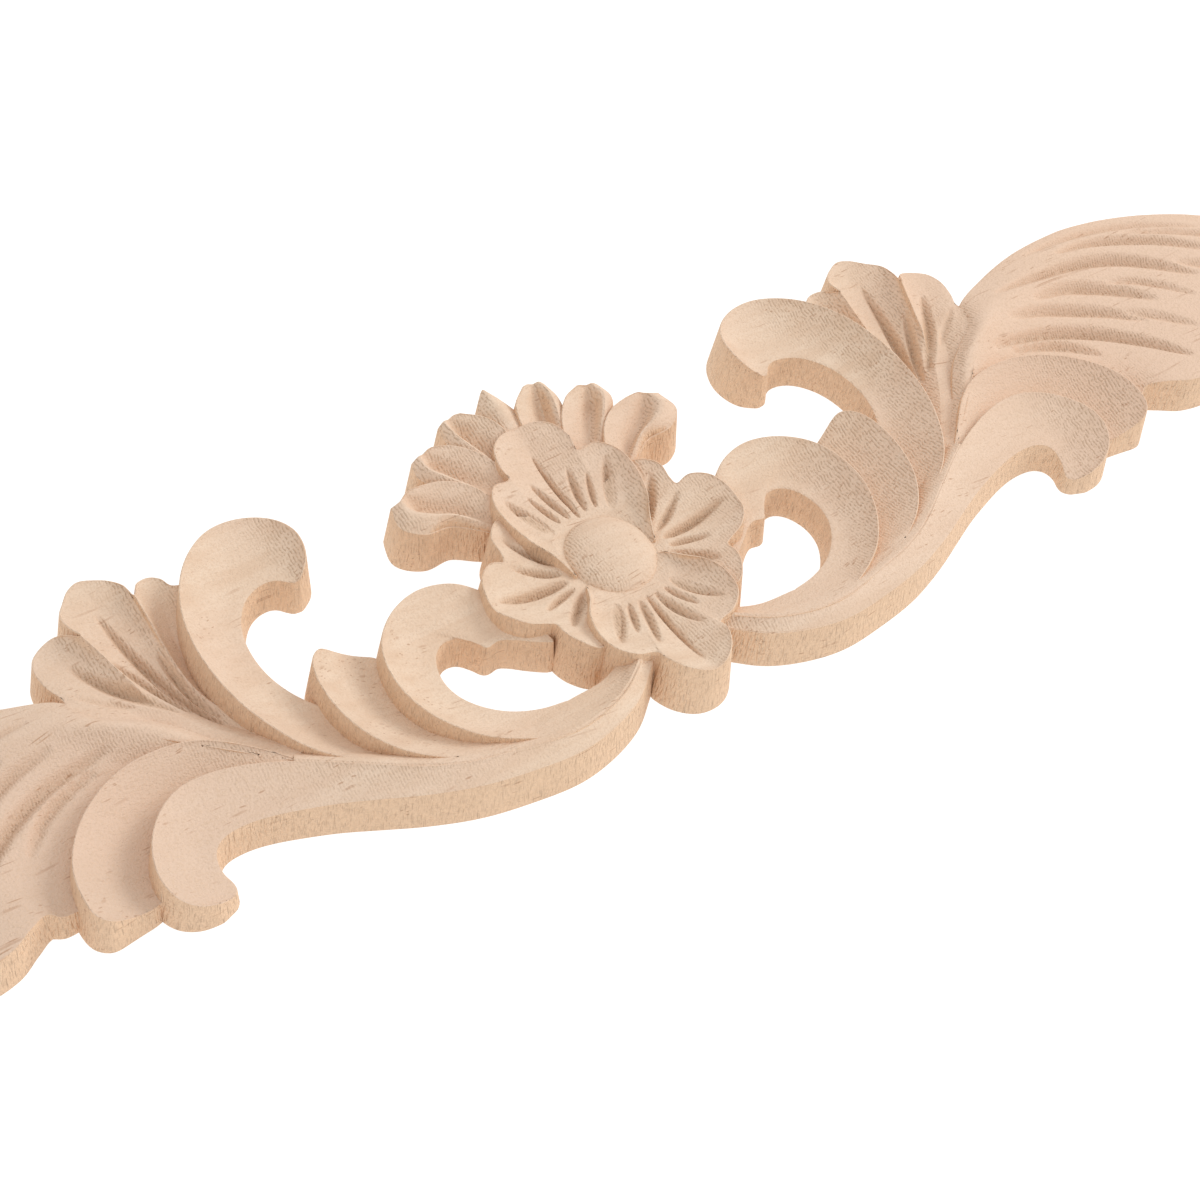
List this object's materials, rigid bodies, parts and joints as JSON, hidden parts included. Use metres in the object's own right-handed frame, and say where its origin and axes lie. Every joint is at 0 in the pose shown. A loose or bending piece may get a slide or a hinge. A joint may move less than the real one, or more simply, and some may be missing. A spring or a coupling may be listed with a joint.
{
  "type": "floral wooden applique",
  "caption": "Long flat-backed onlay carved in pale wood, with a flower under a palmette and mirrored scrolls, curls and acanthus leaves.",
  "frame": {"origin": "middle of the flower, on the flat back", "axes": "+X along the length, +Y across the width towards the palmette, +Z out of the back towards the carved front"},
  "size_m": [0.3072, 0.0683, 0.0101],
  "materials": {
    "rubberwood": "bare, machine carved, unsanded"
  },
  "bodies": {
    "root": {"floral_applique": "rubberwood"}
  },
  "joints": []
}
